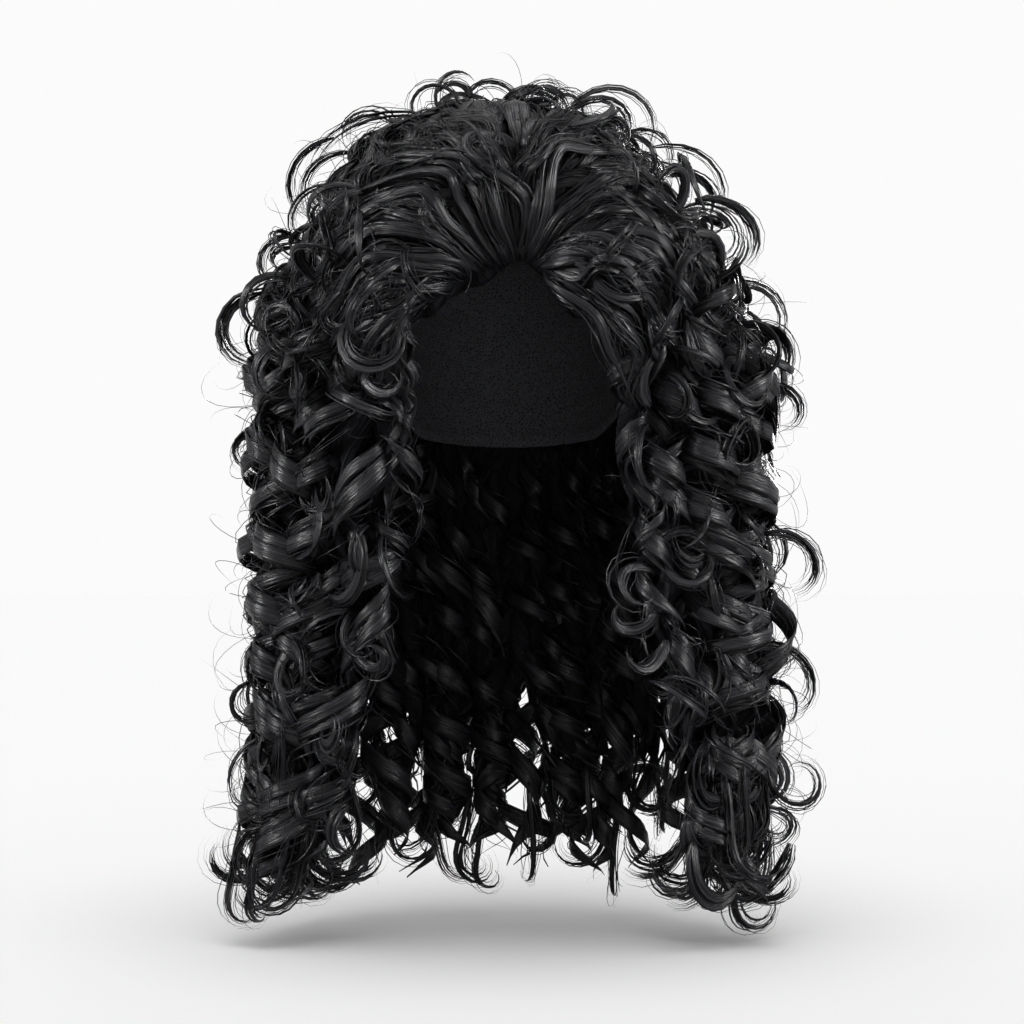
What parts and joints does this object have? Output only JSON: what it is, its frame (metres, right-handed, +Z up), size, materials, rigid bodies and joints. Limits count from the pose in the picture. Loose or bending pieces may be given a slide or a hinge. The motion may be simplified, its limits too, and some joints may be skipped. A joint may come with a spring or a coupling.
{
  "type": "long curly wig",
  "caption": "Long black curly wig: a hollow stretch cap carries a teased crown, a parted swept fringe and ringlets hanging past the shoulders.",
  "frame": {"origin": "inside of the cap's crown, where the top of the head sits", "axes": "+Z up, the opening for the face looks towards -Y, and +X is to the right as seen from the front"},
  "size_m": [0.309, 0.2719, 0.4688],
  "materials": {
    "hair": "black curled synthetic hair fibre with a soft gloss",
    "cap": "black stretch net with sewn weft rows"
  },
  "bodies": {
    "root": {"wig_cap": "cap", "crown_hair": "hair", "fringe_left": "hair", "fringe_right": "hair", "side_hair_left": "hair", "side_hair_right": "hair", "back_hair": "hair"}
  },
  "joints": []
}
